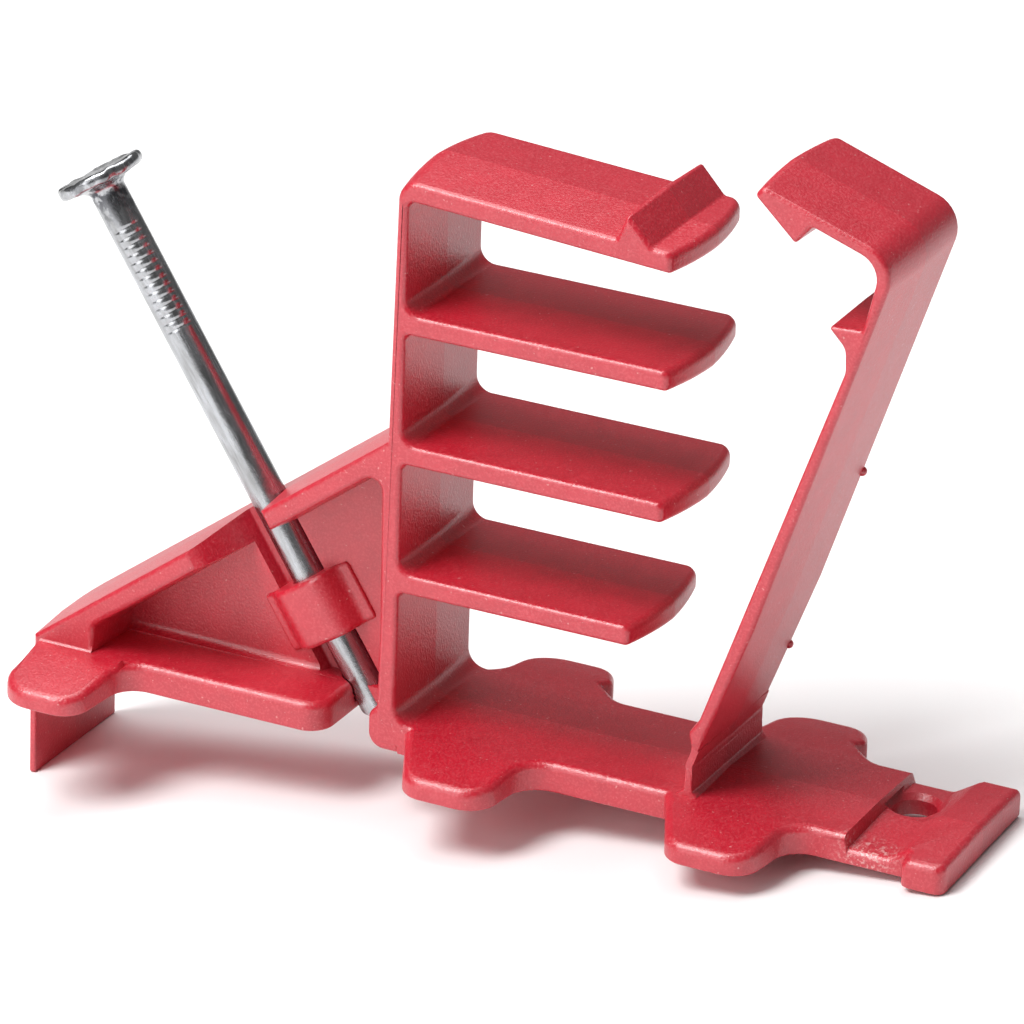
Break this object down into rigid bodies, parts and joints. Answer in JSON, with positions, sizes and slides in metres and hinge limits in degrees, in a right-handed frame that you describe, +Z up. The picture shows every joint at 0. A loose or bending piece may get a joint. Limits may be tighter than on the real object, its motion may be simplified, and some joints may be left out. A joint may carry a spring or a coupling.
{
  "type": "nail-in cable stacker clip",
  "caption": "Moulded cable stacker with open slots on one column, a hinged gate that latches over them, and a slanted nail held in a moulded guide.",
  "frame": {"origin": "on the strip's underside, on the parting plane, below the column's slot face", "axes": "+X along the strip from the nail end to the free end, +Y across the strip, +Z up from the timber"},
  "size_m": [0.0743, 0.0248, 0.0574],
  "materials": {
    "red_plastic": "satin moulded polypropylene",
    "nail_steel": "bright drawn wire"
  },
  "bodies": {
    "clip_body": {"clip_body": "red_plastic"},
    "gate": {"gate": "red_plastic"},
    "nail": {"nail": "nail_steel"}
  },
  "joints": [
    {"name": "gate_hinge", "type": "hinge", "parent": "clip_body", "child": "gate", "pos_m": [0.023, 0, 0.0046], "axis": [0, 1, 0], "range_deg": [-18.9, 70]},
    {"name": "nail_drive", "type": "slide", "parent": "clip_body", "child": "nail", "axis": [0.5432, 0, -0.8396], "range_m": [0, 0.025]}
  ]
}
